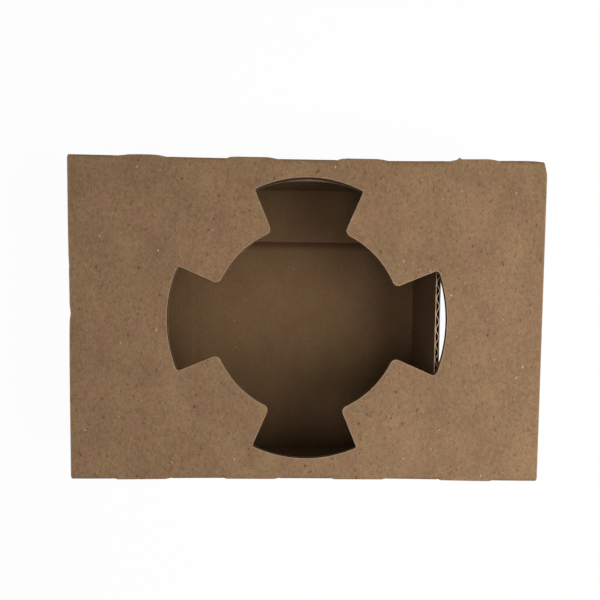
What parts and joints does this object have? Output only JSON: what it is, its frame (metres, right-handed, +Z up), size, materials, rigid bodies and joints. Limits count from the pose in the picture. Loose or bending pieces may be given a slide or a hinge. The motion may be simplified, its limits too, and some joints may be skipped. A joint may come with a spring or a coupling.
{
  "type": "cardboard cup carrier",
  "caption": "Low folded sleeve of corrugated kraft board with a round cut-out in its top panel, whose flaring slots leave petals that hold a takeaway cup upright.",
  "frame": {"origin": "middle of the footprint, on the surface that the floor panel rests on", "axes": "X along the flutes and the long side, with the raised end flap at +X; Y from the front wall to the glued back wall; Z up through the cup hole"},
  "size_m": [0.19, 0.1294, 0.0478],
  "materials": {
    "kraft_board": "matte uncoated kraft"
  },
  "bodies": {
    "root": {"carrier_board": "kraft_board"}
  },
  "joints": []
}
